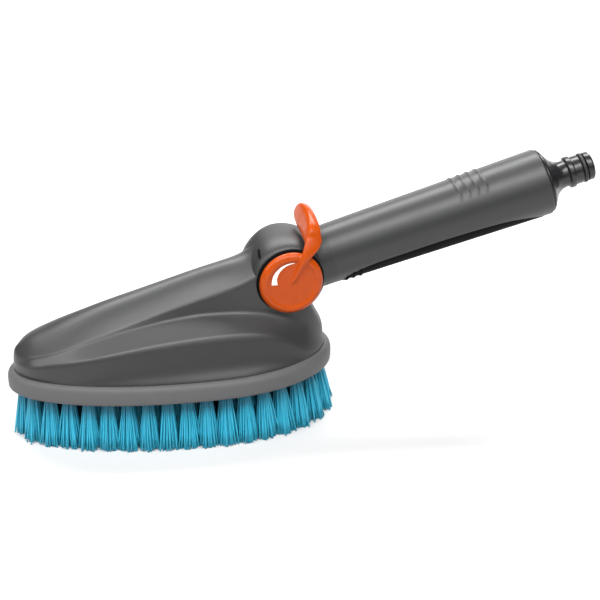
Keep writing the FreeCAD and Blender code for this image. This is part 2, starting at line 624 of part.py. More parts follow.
def main():
    os.makedirs("parts", exist_ok=True)
    builders = dict(NODES)
    for row in range(len(ROW_INSETS)):
        builders[f"tufts_row_{row + 1}"] = lambda row=row: make_tufts(row)
    for name, make in builders.items():
        shape = make()
        shape.translate(V(-LENGTH / 2, 0, 0))
        shape.exportStep(f"parts/{name}.step")
        print(f"{name:16s} solids {len(shape.Solids):3d} volume {shape.Volume:9.1f} mm3 valid {shape.isValid()}")


main()
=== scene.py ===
# %% [markdown]
# # A water-fed wheel brush
#
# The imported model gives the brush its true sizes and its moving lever. Here each visible piece is modelled again with
# softer edges, real bristles and moulded surfaces, then given materials, light and a camera.
#
# Drawing happens in millimetres. `x` runs from the nose back towards the hose, `z` is up from the bristle tips, and
# the dial is on the `-y` side. `W` turns such a point into the model's own frame, in metres.

# %% Load the model
import bpy
import bmesh
import json
import math
import random
from mathutils import Matrix, Vector


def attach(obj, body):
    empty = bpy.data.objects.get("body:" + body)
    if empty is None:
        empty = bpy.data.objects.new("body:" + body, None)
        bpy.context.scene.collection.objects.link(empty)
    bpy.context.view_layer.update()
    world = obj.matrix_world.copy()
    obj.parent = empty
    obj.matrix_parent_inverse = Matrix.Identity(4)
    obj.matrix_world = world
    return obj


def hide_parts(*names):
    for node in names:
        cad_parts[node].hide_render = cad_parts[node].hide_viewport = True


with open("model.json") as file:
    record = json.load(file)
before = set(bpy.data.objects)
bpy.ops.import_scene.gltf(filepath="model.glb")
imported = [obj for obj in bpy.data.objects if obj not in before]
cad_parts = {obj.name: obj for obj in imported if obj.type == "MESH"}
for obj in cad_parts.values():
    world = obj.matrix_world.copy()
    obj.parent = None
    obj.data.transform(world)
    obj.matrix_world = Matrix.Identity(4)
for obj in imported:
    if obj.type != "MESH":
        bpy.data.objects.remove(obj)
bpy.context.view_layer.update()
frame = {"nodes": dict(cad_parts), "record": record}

# %% [markdown]
# ## Shared sizes
#
# The outline of the head is two half-ellipses that meet at its widest station. The handle has its own axis, which
# starts at the middle of the valve and rises towards the hose. `FRONT` and `REAR` are the lengths of the two
# half-ellipses and `WIDE` is their half width.

# %% Sizes and frames
HALF_LENGTH = 163.7005  # from the nose to the middle of the model's box
FRONT, REAR, WIDE = 111.0, 66.0, 43.0
TILT = math.radians(14.15)
VALVE = Vector((151.2, 0.0, 80.9))


def W(x, y, z):
    """A point in millimetres, moved to the model's frame in metres."""
    return Vector((x - HALF_LENGTH, y, z)) / 1000


def on_handle(s, r, turn):
    """A point at distance s along the handle's axis and r away from it; turn is 0 at the top, + towards +y."""
    up = r * math.cos(turn)
    x = VALVE.x + s * math.cos(TILT) - up * math.sin(TILT)
    z = VALVE.z + s * math.sin(TILT) + up * math.cos(TILT)
    return W(x, r * math.sin(turn), z)


def egg(inset, turn):
    """A point on the head's outline drawn in by inset; turn is 0 at the rear."""
    reach = (REAR if math.cos(turn) > 0 else FRONT) - inset
    return FRONT + reach * math.cos(turn), (WIDE - inset) * math.sin(turn)


def smooth(a, b, t):
    """0 below a, 1 above b and an S-curve between."""
    t = min(1.0, max(0.0, (t - a) / (b - a)))
    return t * t * (3 - 2 * t)


print("outline:", [round(v, 1) for v in egg(0, math.pi)], "to", [round(v, 1) for v in egg(0, 0)])

# %% [markdown]
# ## Tools for modelling
#
# - `lay_grid` takes a flat grid and lays it onto a formula, so that one function of two numbers gives a surface.
# - `spin_outline` spins an outline about an axis, as a lathe does.
# - `finish_mesh` welds the seams that a grid leaves where it meets itself.
# - `add_piece` makes the object, hangs it on the empty of the CAD body it rides on and hides the CAD nodes it stands
#   for.

# %% Modelling tools
def lay_grid(bm, nu, nv, place):
    """Adds a grid of nu by nv cells to bm and moves each corner to place(u, v), with u and v from 0 to 1."""
    made = bmesh.ops.create_grid(bm, x_segments=nu, y_segments=nv, size=0.5)
    for vert in made["verts"]:
        vert.co = place(vert.co.x + 0.5, vert.co.y + 0.5)
    return made["verts"]


def finish_mesh(bm, merge=1e-6):
    """Joins corners closer than merge, turns the faces outwards and shades them smooth."""
    bmesh.ops.remove_doubles(bm, verts=bm.verts, dist=merge)
    bmesh.ops.recalc_face_normals(bm, faces=bm.faces)
    for face in bm.faces:
        face.smooth = True


def to_mesh(name, bm):
    """Turns bm into a mesh and frees it."""
    mesh = bpy.data.meshes.new(name)
    bm.to_mesh(mesh)
    bm.free()
    return mesh


def new_object(name, data):
    """Puts a new object that shows data into the scene."""
    obj = bpy.data.objects.new(name, data)
    bpy.context.collection.objects.link(obj)
    return obj


def subdivide(obj, levels):
    sub = obj.modifiers.new("soften", "SUBSURF")
    sub.levels = sub.render_levels = levels


def add_piece(name, bm, body, stands_for=(), sharp=None):
    """Makes an object from bm. Edges sharper than the angle sharp, in degrees, stay crisp."""
    finish_mesh(bm)
    if sharp is not None:
        for edge in bm.edges:
            edge.smooth = edge.calc_face_angle(0.0) < math.radians(sharp)
    mesh = to_mesh(name, bm)
    obj = new_object(name, mesh)
    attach(obj, body)
    if stands_for:
        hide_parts(*stands_for)
    print(f"{name}: {len(mesh.polygons)} faces")
    return obj


def rounded(corners, radius, steps=3):
    """An open outline of (a, b) points, with every corner between its ends rounded in steps short pieces."""
    out = [Vector(corners[0])]
    for before, here, after in zip(corners, corners[1:], corners[2:]):
        before, here, after = Vector(before), Vector(here), Vector(after)
        into, away = before - here, after - here
        r = min(radius, 0.45 * into.length, 0.45 * away.length)
        a, b = here + into.normalized() * r, here + away.normalized() * r
        for k in range(steps + 1):
            t = k / steps
            out.append(a * (1 - t) ** 2 + here * 2 * t * (1 - t) + b * t * t)
    out.append(Vector(corners[-1]))
    return out


def spin_outline(bm, outline, place, steps=96):
    """Spins (along, radius) points, laid out by place(along, radius), about the axis that place uses."""
    start, ahead = place(0, 0), place(1, 0)
    row = [bm.verts.new(place(a, r)) for a, r in outline]
    edges = [bm.edges.new(pair) for pair in zip(row, row[1:])]
    axis = (ahead - start).normalized()
    bmesh.ops.spin(bm, geom=row + edges, cent=start, axis=axis, angle=2 * math.pi, steps=steps,
                   use_duplicate=False)


def handle_place(s, r):
    """For spins about the handle's axis."""
    return on_handle(s, r, 0.0)


def valve_place(y, r):
    """For spins about the valve's axis."""
    return W(VALVE.x, y, VALVE.z + r)


def round_valve(y, r, turn):
    """A point r out from the valve's axis; turn is 0 towards the hose and grows over the top."""
    return W(VALVE.x + r * math.cos(turn), y, VALVE.z + r * math.sin(turn))


def across_span(u, first, last):
    """The value at share u of the way from first to last."""
    return first + (last - first) * u


print("tools ready")

# %% [markdown]
# ## The shell of the head
#
# The shell is drawn as a set of lines that run from nose to tail: the rim, the edge of the shelf, the foot of the
# spine, the crease and the crest. Each line is a list of `(x, y, z)` stations. A smooth curve goes through them, and
# the grid stretches from line to line, first down one side and then mirrored up the other.

# %% Lines of the head
LINES = {
    "shelf": ((3.6, 0, 43.5), (5.2, 8.0, 44.3), (12, 18.2, 46.0), (29, 25.0, 49.8), (47, 28.4, 53.2),
              (64, 30.0, 56.0), (82, 31.0, 58.2), (99, 31.2, 59.2), (117, 31.0, 59.2), (137, 29.4, 55.8),
              (151, 27.2, 48.2), (158, 25.6, 42.6), (165, 20.0, 40.2), (170.5, 12.0, 39.8), (173.2, 0, 39.8)),
    "foot": ((3.7, 0, 45.0), (5.6, 7.4, 46.0), (12, 14.6, 49.6), (28, 19.4, 54.2), (45, 18.8, 58.5),
             (66, 18.3, 63.0), (84, 17.8, 65.8), (102, 17.6, 67.3), (110, 17.6, 67.1), (123, 18.0, 66.6),
             (132, 17.9, 65.4), (140, 17.6, 63.6), (150, 17.4, 60.5), (160, 16.8, 54.0), (168, 12.4, 46.0),
             (172.9, 0, 41.0)),
    "crease": ((3.9, 0, 47.0), (6.2, 7.2, 48.4), (12, 14.0, 51.0), (28, 18.5, 55.4), (45, 17.8, 59.8),
               (66, 16.9, 65.3), (85, 16.0, 70.5), (102, 15.6, 74.5), (111, 15.6, 76.6), (125, 16.0, 81.2),
               (133, 16.2, 85.0), (140, 16.2, 87.5), (150, 15.8, 84.0), (160, 15.0, 70.0), (168, 11.0, 55.0),
               (172.7, 0, 43.0)),
    "crest": ((4.6, 0, 49.6), (6.9, 0, 52.3), (13, 0, 56.2), (20, 0, 59.2), (26, 0, 61.8), (40, 0, 67.3),
              (53, 0, 71.7), (66, 0, 75.4), (79, 0, 79.0), (92, 0, 82.7), (105, 0, 86.3), (118, 0, 89.3),
              (125, 0, 90.9), (130, 0, 92.6), (133, 0, 94.5), (135.2, 0, 97.0), (137.2, 0, 99.2),
              (140, 0, 100.4), (145, 0, 100.6), (152, 0, 98.0), (160, 0, 78.0), (167, 0, 60.0),
              (172.5, 0, 46.0)),
}


def curve_through(points, t):
    """A smooth curve through (t, value...) points, with slopes averaged from the pieces on either side."""
    i = max(0, min(len(points) - 2, sum(1 for p in points[1:-1] if p[0] <= t)))
    p, q = points[i], points[i + 1]
    h = q[0] - p[0]
    s = (t - p[0]) / h
    values = []
    for k in range(1, len(p)):
        slope = (q[k] - p[k]) / h
        left = slope if i == 0 else (p[k] - points[i - 1][k]) / (p[0] - points[i - 1][0])
        right = slope if i == len(points) - 2 else (points[i + 2][k] - q[k]) / (points[i + 2][0] - q[0])
        m0, m1 = 0.5 * (left + slope), 0.5 * (slope + right)
        values.append((2 * s ** 3 - 3 * s * s + 1) * p[k] + (s ** 3 - 2 * s * s + s) * h * m0
                      + (3 * s * s - 2 * s ** 3) * q[k] + (s ** 3 - s * s) * h * m1)
    return values


def half_circle(u):
    """Shares bunched up at both ends, as evenly turned points on a half circle are."""
    return 0.5 * (1 - math.cos(math.pi * u))


def line_point(name, u):
    """The point at share u of the way from nose to tail, spaced as on a half circle."""
    stations = LINES[name]
    x0, x1 = stations[0][0], stations[-1][0]
    shares = [math.acos(max(-1, min(1, 1 - 2 * (x - x0) / (x1 - x0)))) / math.pi for x, _, _ in stations]
    spaced = [(share, y, z) for share, (_, y, z) in zip(shares, stations)]
    y, z = curve_through(spaced, u)
    return Vector((x0 + (x1 - x0) * half_circle(u), max(0.0, y), z))


def rim_point(u, inset, z):
    """The rim at the same share of the way from nose to tail."""
    x0, x1 = inset, FRONT + REAR - inset
    x = x0 + (x1 - x0) * half_circle(u)
    reach = (FRONT if x < FRONT else REAR) - inset
    y = (WIDE - inset) * math.sqrt(max(0.0, 1 - ((x - FRONT) / reach) ** 2))
    return Vector((x, y, z))


def shell_section(u):
    """The half section at u, as a list of points from the rim up to the crest."""
    foot, shelf = line_point("foot", u), line_point("shelf", u)
    crease, crest = line_point("crease", u), line_point("crest", u)
    rim = rim_point(u, 3.4, 38.4)
    inward, upward = rim.y - shelf.y, shelf.z - rim.z
    low, flank = rim.lerp(shelf, 0.22), rim.lerp(shelf, 0.5)
    for point, sag in ((low, 0.08), (flank, 0.13)):
        point.y -= 0.10 * inward
        point.z -= sag * upward
    step = shelf.lerp(foot, 0.5)
    roof = [crease.lerp(crest, t) for t in (0.33, 0.68)]
    rise = crest.z - crease.z
    roof[0].z += 0.15 * rise
    roof[1].z += 0.17 * rise
    wall = foot.lerp(crease, 0.5)
    return [rim_point(u, 3.6, 35.5), rim, low, flank, shelf, step, foot, wall, crease, *roof, crest]


print("section at the middle:", [[round(c, 1) for c in p] for p in shell_section(0.5)][::3])

# %% [markdown]
# The grid has one column for each line on either side. The edges along the shelf, foot and crease are marked as
# creases, so the subdivision keeps them tight; the marks fade out towards the nose, where the form is one soft dome.

# %% Shell
COLUMNS = len(shell_section(0.5))
ACROSS = 2 * (COLUMNS - 1)  # cells from rim to rim
TIGHTNESS = {4: 0.55, 6: 0.5, 8: 0.78}  # by column: shelf, foot, crease
sections = {}


def shell_place(u, v):
    key = round(u, 5)
    if key not in sections:
        sections[key] = shell_section(u)
    k = round(v * ACROSS)
    side = -1 if k < COLUMNS else 1
    point = sections[key][min(k, ACROSS - k)]
    return W(point.x, side * point.y, point.z)


bm = bmesh.new()
bands = bm.verts.layers.int.new("band")
for vert in lay_grid(bm, 60, ACROSS, lambda u, v: Vector((u, v, 0))):
    k = round(vert.co.y * ACROSS)
    vert[bands] = min(k, ACROSS - k)
    vert.co = shell_place(vert.co.x, vert.co.y)
finish_mesh(bm, merge=2e-5)
tight = bm.edges.layers.float.new("crease_edge")
for edge in bm.edges:
    a, b = edge.verts
    if a[bands] == b[bands] and a[bands] in TIGHTNESS:
        x = (a.co.x + b.co.x) * 500 + HALF_LENGTH
        edge[tight] = TIGHTNESS[a[bands]] * smooth(14, 44, x) * (1 - smooth(150, 166, x))
shell = add_piece("head_shell_skin", bm, "brush", ["head_shell"])
subdivide(shell, 2)

# %% [markdown]
# ## Bumper
#
# One closed profile is carried round the whole outline. Its top edge is a broad soft round that catches the light.

# %% Bumper
# Each point is (inset from the outline, z).
PROFILE = [(5.0, 28.6), (4.9, 27.8), (1.1, 27.8), (0.35, 28.3), (0.05, 29.2), (0.0, 32.0), (0.0, 34.6),
           (0.25, 35.9), (0.95, 37.1), (2.1, 38.0), (3.3, 38.4), (3.9, 38.1), (4.1, 37.2), (4.3, 33.0)]


def bumper_place(u, v):
    inset, z = PROFILE[round(v * len(PROFILE)) % len(PROFILE)]
    x, y = egg(inset, 2 * math.pi * u)
    return W(x, y, z)


bm = bmesh.new()
lay_grid(bm, 240, len(PROFILE), bumper_place)
bumper = add_piece("bumper_skin", bm, "brush", ["bumper_ring"])
subdivide(bumper, 1)

# %% [markdown]
# ## Valve housing
#
# A rounded drum lies across the brush and a short neck behind it meets the handle. The drum is a grid round the
# valve's axis, because its far shoulder is softer in front than elsewhere.

# %% Housing
DRUM_FACE = 16.4  # from the middle to either end
SHOULDER_MIDDLE, SHOULDER_REACH = -1.0, 15.4  # of the near shoulder, along y
SHOULDER_R, SHOULDER_RISE = 17.5, 4.7


def near_shoulder(y):
    """The drum's radius on the near shoulder."""
    return SHOULDER_R + SHOULDER_RISE * math.sqrt(1 - ((y - SHOULDER_MIDDLE) / SHOULDER_REACH) ** 2)


def drum_outline():
    """(y, radius) from the near face, over the soft near shoulder and the rounder far one, into the cap's seat."""
    quarter = [math.pi / 2 * k / 14 for k in range(15)]
    near = [(SHOULDER_MIDDLE - SHOULDER_REACH * math.cos(t), SHOULDER_R + SHOULDER_RISE * math.sin(t))
            for t in quarter]
    far = [(9.6 + 6.8 * math.cos(t), 16.9 + 5.3 * math.sin(t)) for t in reversed(quarter)]
    face = [(-DRUM_FACE, 0.0), (-DRUM_FACE, 10.0), (-DRUM_FACE, 17.0)]
    seat = [(DRUM_FACE, 16.5), (16.1, 16.4), (15.6, 16.3), (15.6, 0.0)]
    return face + near + far + seat


DRUM = drum_outline()


def drum_place(u, v):
    """The far shoulder rolls off more softly towards the front, where the drum sinks into the spine."""
    y, r = DRUM[round(v * (len(DRUM) - 1))]
    turn = 2 * math.pi * u
    from_spine = math.degrees(math.acos(math.cos(turn - math.radians(150))))
    if y > 0:
        y = DRUM_FACE - (DRUM_FACE - y) * (1 + 0.7 * (1 - smooth(8, 52, from_spine)))
    return round_valve(y, r, turn)


bm = bmesh.new()
lay_grid(bm, 144, len(DRUM) - 1, drum_place)
housing = add_piece("housing_skin", bm, "brush", ["valve_housing"], sharp=35)

bm = bmesh.new()
neck = [(3.0, 16.05), (18.0, 16.12), (26.4, 16.16), (26.4, 12.0)]
spin_outline(bm, neck, handle_place, 128)
add_piece("housing_neck", bm, "brush", sharp=35)

# %% [markdown]
# A black ring stands out a little round the back of the dial and paints the shadow of the dial's gap as a dark line.

# %% Painted shadow ring behind the dial
bm = bmesh.new()
shadow_ring_outline = [(-16.3, 12.0), (-16.3, 18.3), (-16.7, 18.55), (-17.2, 18.45), (-17.4, 18.0), (-17.4, 12.0)]
spin_outline(bm, shadow_ring_outline, valve_place, 96)
add_piece("dial_seal", bm, "brush")

# %% [markdown]
# A short black lens lies across the front of the drum, close to where it meets the spine: painted shade for a slit.

# %% Slot, a black lens of painted shade
def slot_place(u, v):
    """A rounded lens, a millimetre to either side of its middle line, that stands 0.4 mm out of the shoulder."""
    y = across_span(u, -13.3, -6.7)
    side = 2 * v - 1
    across = side * math.sqrt(max(0.0, 1 - abs(2 * u - 1) ** 3))
    r = near_shoulder(y) + 0.4 * (1 - side ** 4)
    turn = math.radians(139.5 - 6.5 * u) + across / r
    return round_valve(y, r, turn)


bm = bmesh.new()
lay_grid(bm, 24, 8, slot_place)
add_piece("housing_slot", bm, "brush")

# %% [markdown]
# ## Dial and thumb lever
#
# The dial is spun, the arm and the thumb paddle are laid out as soft bars, and all three are then wrapped into one
# skin so that they flow into each other as a single moulding does.

# %% Dial and lever
LEAN = math.radians(24.0)


def on_lever(y, r, t):
    """y across the brush, r out from the valve's axis along the lever, t towards the handle side of the paddle."""
    x = VALVE.x + r * math.sin(LEAN) + t * math.cos(LEAN)
    z = VALVE.z + r * math.cos(LEAN) - t * math.sin(LEAN)
    return W(x, y, z)


def oval(turn, power=2.6):
    """A rounded rectangle of half-sizes 1."""
    c, s = math.cos(turn), math.sin(turn)
    return math.copysign(abs(c) ** (2 / power), c), math.copysign(abs(s) ** (2 / power), s)


# The paddle at each y: its inner edge, outer edge, middle plane and half thickness.
PADDLE = ((-18.6, 22.6, 26.0, 1.8, 2.6), (-17.6, 22.3, 29.4, 1.7, 3.6), (-15.0, 22.4, 32.4, 1.4, 3.8),
          (-12.0, 22.6, 34.0, 1.1, 3.6), (-8.0, 22.8, 35.3, 0.8, 3.2), (-4.0, 23.2, 36.2, 0.5, 2.9),
          (0.0, 23.6, 36.7, 0.3, 2.7), (4.0, 24.0, 36.7, 0.1, 2.6), (8.0, 24.5, 36.3, 0.0, 2.5),
          (12.0, 25.2, 35.2, 0.0, 2.4), (14.5, 26.4, 33.6, 0.0, 2.2), (16.2, 27.9, 31.8, 0.0, 1.8),
          (16.9, 29.2, 30.8, 0.0, 1.1))


def paddle_place(u, v):
    y = across_span(u, PADDLE[0][0], PADDLE[-1][0])
    low, high, middle, thick = curve_through(PADDLE, y)
    a, b = oval(2 * math.pi * v, 3.4)
    return on_lever(y, (low + high) / 2 + a * (high - low) / 2, middle + b * thick)


# The arm at each distance from the axis: its y, half width, half depth and shift towards the handle.
ARM = ((0.5, -20.9, 0.7, 0.5, 0.0), (3.0, -21.1, 1.0, 0.8, 0.0), (8.0, -21.3, 1.4, 1.2, 0.0),
       (13.0, -21.3, 1.9, 1.6, 0.3), (17.0, -20.9, 2.6, 1.9, 0.8), (20.0, -20.1, 3.4, 2.1, 1.5),
       (22.5, -18.9, 4.1, 2.3, 2.1), (25.0, -17.6, 4.5, 2.3, 2.4), (27.5, -16.4, 4.3, 1.9, 2.4),
       (29.4, -15.6, 3.4, 1.3, 2.2))


def arm_place(u, v):
    r = across_span(u, ARM[0][0], ARM[-1][0])
    y, wide, deep, shift = curve_through(ARM, r)
    a, b = oval(2 * math.pi * v)
    return on_lever(y + b * deep, r, shift + a * wide)


bm = bmesh.new()
disc = [(-17.5, 0.0), (-17.5, 16.6), (-17.8, 17.15), (-18.3, 17.35), (-19.1, 17.3), (-19.9, 17.0),
        (-20.6, 16.4), (-21.15, 15.6), (-21.45, 14.8), (-21.5, 14.2), (-21.35, 13.6), (-21.0, 13.1),
        (-20.75, 12.5), (-20.75, 8.0), (-20.8, 0.0)]
spin_outline(bm, disc, valve_place, 128)
lay_grid(bm, 60, 28, paddle_place)
lay_grid(bm, 40, 24, arm_place)
finish_mesh(bm)
bmesh.ops.holes_fill(bm, edges=[e for e in bm.edges if e.is_boundary], sides=0)
dial = add_piece("dial_lever_skin", bm, "lever", ["dial_lever"])
wrap = dial.modifiers.new("one_skin", "REMESH")
wrap.mode = "VOXEL"
wrap.voxel_size = 0.00038
wrap.use_smooth_shade = True
relax = dial.modifiers.new("relax", "SMOOTH")
relax.factor, relax.iterations = 0.5, 5

# %% [markdown]
# The flow mark is a white crescent in the dish. It is thin at the top of the dial and swells towards the side.

# %% Flow mark
MARK_Y = -21.15  # just in front of the dish


def mark_place(u, v):
    turn = math.radians(84 + 92 * u)
    outer = 12.4 - 1.2 * u * u
    wide = 0.3 + 3.0 * u ** 1.1
    return round_valve(MARK_Y, outer - wide * v, turn)


bm = bmesh.new()
lay_grid(bm, 40, 6, mark_place)
add_piece("flow_mark_inlay", bm, "lever", ["flow_mark"])

# %% [markdown]
# ## Handle
#
# The grip is a tapering tube. Four ribs are raised over its top: the grid is fine enough to carry them as a swelling
# of the surface. Below lies the soft black strip, which has three ribs of its own near the valve.

# %% Handle
GRIP_START, GRIP_END = 26.0, 151.0
START_R, GRIP_FLARE = 16.2, 2.3
RIBS = (101.6, 106.6, 111.6, 116.6)


def handle_radius(s):
    return START_R + GRIP_FLARE * (s - GRIP_START) / (GRIP_END - GRIP_START)


def ribs(s, middles, height, half_width):
    """How high rounded ribs at the given middles stand at s."""
    return sum(height * smooth(0, 1, max(0.0, 1 - abs(s - middle) / half_width)) for middle in middles)


def handle_place_grid(u, v):
    s = across_span(u, GRIP_START, GRIP_END)
    turn = 2 * math.pi * v - math.pi
    front_edge = 0.02 * (1 - smooth(0, 0.3, s - GRIP_START))
    rear_edge = 0.9 * (1 - math.sqrt(smooth(0, 1.1, GRIP_END - s)))
    over_top = 1 - smooth(math.radians(40), math.radians(52), abs(turn))
    return on_handle(s, handle_radius(s) - front_edge - rear_edge + ribs(s, RIBS, 0.5, 1.5) * over_top, turn)


bm = bmesh.new()
lay_grid(bm, 420, 120, handle_place_grid)
handle = add_piece("handle_skin", bm, "brush", ["handle_shell"])

# %% Soft strip under the handle
# Each station is (distance along the handle, level of the strip's upper edge against the handle's axis).
STRIP = ((27.5, -16.0), (30.0, -11.5), (38.0, -8.0), (66.0, -6.2), (104.0, -6.6), (124.0, -8.4),
         (135.0, -11.2), (143.0, -14.6), (147.0, -17.4))
STRIP_RIBS = (31.0, 35.0, 39.0)
STRIP_DEPTH, STRIP_LIFT = 0.5, 0.22  # how far it reaches into the handle and stands out of it


def strip_place(u, v):
    s = across_span(u, STRIP[0][0], STRIP[-1][0])
    r = handle_radius(s)
    level = curve_through(STRIP, s)[0]
    half = math.acos(max(-1.0, min(1.0, -level / r)))
    turn = math.pi + half * (2 * v - 1)
    lift = STRIP_LIFT + ribs(s, STRIP_RIBS, 0.6, 1.4)
    roll = smooth(0, 0.03, min(v, 1 - v)) * smooth(0, 0.012, min(u, 1 - u))
    return on_handle(s, r - STRIP_DEPTH + (STRIP_DEPTH + lift) * roll, turn)


bm = bmesh.new()
lay_grid(bm, 300, 60, strip_place)
add_piece("grip_strip_skin", bm, "brush", ["grip_strip"])

# %% [markdown]
# ## End cap and hose nipple
#
# The flared cap closes the handle and runs down to the neck, the latching ridge, the O-ring groove and the mouth.
# The O-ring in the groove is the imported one.

# %% Cap and nipple
bm = bmesh.new()
flare = [(151.05, 14.0), (151.05, 17.0), (151.3, 17.6), (151.9, 17.6), (152.8, 16.6), (153.8, 14.9),
         (155.2, 12.6), (156.8, 10.5), (158.6, 8.9), (160.6, 7.9), (162.8, 7.4)]
nipple = [(164.6, 7.5), (165.5, 8.8), (168.0, 8.8), (168.4, 7.9), (172.9, 7.9), (172.9, 6.2), (176.0, 6.2),
          (176.0, 7.9), (178.9, 7.9), (179.9, 6.7), (179.9, 5.1), (158.2, 5.1), (158.2, 4.6), (150.0, 4.6)]
spin_outline(bm, flare + rounded(nipple, 0.35), handle_place, 112)
add_piece("hose_nipple_skin", bm, "brush", ["hose_nipple"], sharp=50)

# %% [markdown]
# ## Bristles
#
# Each tuft is a bundle of fine filaments that start packed together in the plate and fan out towards the tips. A
# filament is a thin bar with a slight bend; the ends of a bundle are trimmed level. Each row of filaments stands in
# for one imported row of tufts; the roots and the lean of each row come from `ROWS`.

# %% Tuft places
ROWS = ((8.6, 3.4), (17.2, 2.2), (25.8, 1.0), (34.6, 0.0))  # (inset from the outline, outward lean)
TUFT_STEP = 10.4
NOSE_LEAN, LEAN_GAIN = 0.15, 1.15  # shares of the lean at the nose, and gained towards the tail
SCREWS = ((30.0, 0.0), (106.0, 21.5), (106.0, -21.5), (159.0, 0.0))
ROSE_X, ROSE_R = 72.0, 8.8
SCREW_ROOM, ROSE_ROOM, TIP_ROOM = 6.4, 3.4, 8.5


def row_places(row):
    """Roots and tips of a row, evenly spaced round the outline."""
    inset, lean = ROWS[row]
    steps = 720
    points = [Vector((*egg(inset, 2 * math.pi * i / steps), 0)) for i in range(steps + 1)]
    run = [0.0]
    for a, b in zip(points, points[1:]):
        run.append(run[-1] + (b - a).length)
    count = max(2, round(run[-1] / TUFT_STEP / 2) * 2)
    places = []
    for k in range(count):
        target = (k + 0.5 * (row % 2)) * run[-1] / count
        i = max(j for j in range(steps) if run[j] <= target)
        p = points[i].lerp(points[i + 1], (target - run[i]) / (run[i + 1] - run[i]))
        out = (points[i + 1] - points[i]).cross(Vector((0, 0, 1))).normalized()
        places.append((p, p + out * lean * (NOSE_LEAN + LEAN_GAIN * smooth(0, VALVE.x, p.x))))
    return places


TUFTS, tips = [], []
for row in range(4):
    kept = []
    for root, tip in row_places(row):
        off_screws = all(math.hypot(root.x - x, root.y - y) > SCREW_ROOM for x, y in SCREWS)
        off_rose = math.hypot(root.x - ROSE_X, root.y) > ROSE_R + ROSE_ROOM
        if off_screws and off_rose and all((tip - other).length > TIP_ROOM for other in tips):
            kept.append((root, tip))
            tips.append(tip)
    TUFTS.append(kept)
print("tufts:", [len(row) for row in TUFTS])

# %% Filaments
FILAMENTS = 110
FILAMENT_R = 0.00045  # in metres, a little thicker than nylon so that each one can be seen
GOLDEN_TURN = 2.39996  # spreads the filaments evenly over the bundle
ROOT_Z = 30.0
ROOT_SPREAD, TIP_SPREAD = 2.3, 5.7
STEPS = 4


def grow_tuft(bm, chance):
    """Grows a tuft at x = y = 0: each filament is a small ring that is extruded towards its tip in a few steps."""
    for k in range(FILAMENTS):
        share = math.sqrt((k + 0.5) / FILAMENTS)
        turn = k * GOLDEN_TURN + chance.uniform(-0.2, 0.2)
        low = Vector((math.cos(turn), math.sin(turn), 0)) * ROOT_SPREAD * share
        high = Vector((math.cos(turn), math.sin(turn), 0)) * TIP_SPREAD * share
        high += Vector((chance.gauss(0, 0.6), chance.gauss(0, 0.6), 0))
        bend = Vector((chance.uniform(-0.5, 0.5), chance.uniform(-0.5, 0.5), 0))
        end = chance.uniform(0.05, 1.0) + (1.2 if chance.random() < 0.15 else 0.0)
        path = []
        for step in range(STEPS + 1):
            t = step / STEPS
            point = low.lerp(high, t) + bend * math.sin(math.pi * t)
            path.append(Vector((point.x, point.y, across_span(t, ROOT_Z, end))))
        ring = bmesh.ops.create_circle(bm, segments=5, radius=FILAMENT_R)["verts"]
        for vert in ring:
            vert.co += W(*path[0])
        for before, here in zip(path, path[1:]):
            edges = list({e for v in ring for e in v.link_edges if e.other_vert(v) in ring})
            grown = bmesh.ops.extrude_edge_only(bm, edges=edges)["geom"]
            ring = [g for g in grown if isinstance(g, bmesh.types.BMVert)]
            for vert in ring:
                vert.co += (here - before) / 1000
        bm.faces.new(ring_order(ring))


def ring_order(ring):
    """The corners of a ring in order round it."""
    middle = sum((v.co for v in ring), Vector()) / len(ring)
    return sorted(ring, key=lambda v: math.atan2(v.co.y - middle.y, v.co.x - middle.x))


# A few different tufts are grown once and then copied, which is quicker than growing every one.
chance = random.Random(7)
samples = []
for k in range(5):
    bm = bmesh.new()
    grow_tuft(bm, chance)
    samples.append(to_mesh(f"tuft_sample_{k}", bm))
print("sample tuft:", len(samples[0].polygons), "faces")

# %% [markdown]
# A sample tuft stands at the origin. Each copy is turned, moved to its root and leaned outwards in proportion to the
# depth below the plate.

# %% Rows of tufts
def plant_row(row):
    bm = bmesh.new()
    origin = W(0, 0, 0)
    for k, (root, tip) in enumerate(TUFTS[row]):
        before = len(bm.verts)
        bm.from_mesh(samples[(k * 3 + row) % len(samples)])
        bm.verts.ensure_lookup_table()
        turn = Matrix.Rotation(k * 1.7 + row, 3, "Z")
        for vert in bm.verts[before:]:
            local = turn @ (vert.co - origin)
            depth = min(1.0, max(0.0, 1 - local.z * 1000 / ROOT_Z))
            foot = root.lerp(tip, depth)
            vert.co = W(foot.x, foot.y, 0) + local
    return bm


for row in range(4):
    name = f"tufts_row_{row + 1}"
    add_piece(f"{name}_filaments", plant_row(row), "brush", [name])

# %% [markdown]
# ## Materials
#
# Every finish made by `plastic` is built from a principled shader with a fine procedural grain; the bristles' finish
# has none. The grain comes from object coordinates, so it stays with the piece when the lever turns.

# %% Material tools
GRAIN_DEPTH = 0.00003
FINISHES = {}


def new_material(name, colour, roughness, metallic=0.0, specular=0.5):
    mat = bpy.data.materials.new(name)
    mat.use_nodes = True
    shader = mat.node_tree.nodes["Principled BSDF"]
    shader.inputs["Specular IOR Level"].default_value = specular
    shader.inputs["Base Color"].default_value = (*colour, 1)
    shader.inputs["Roughness"].default_value = roughness
    shader.inputs["Metallic"].default_value = metallic
    return mat, mat.node_tree, shader


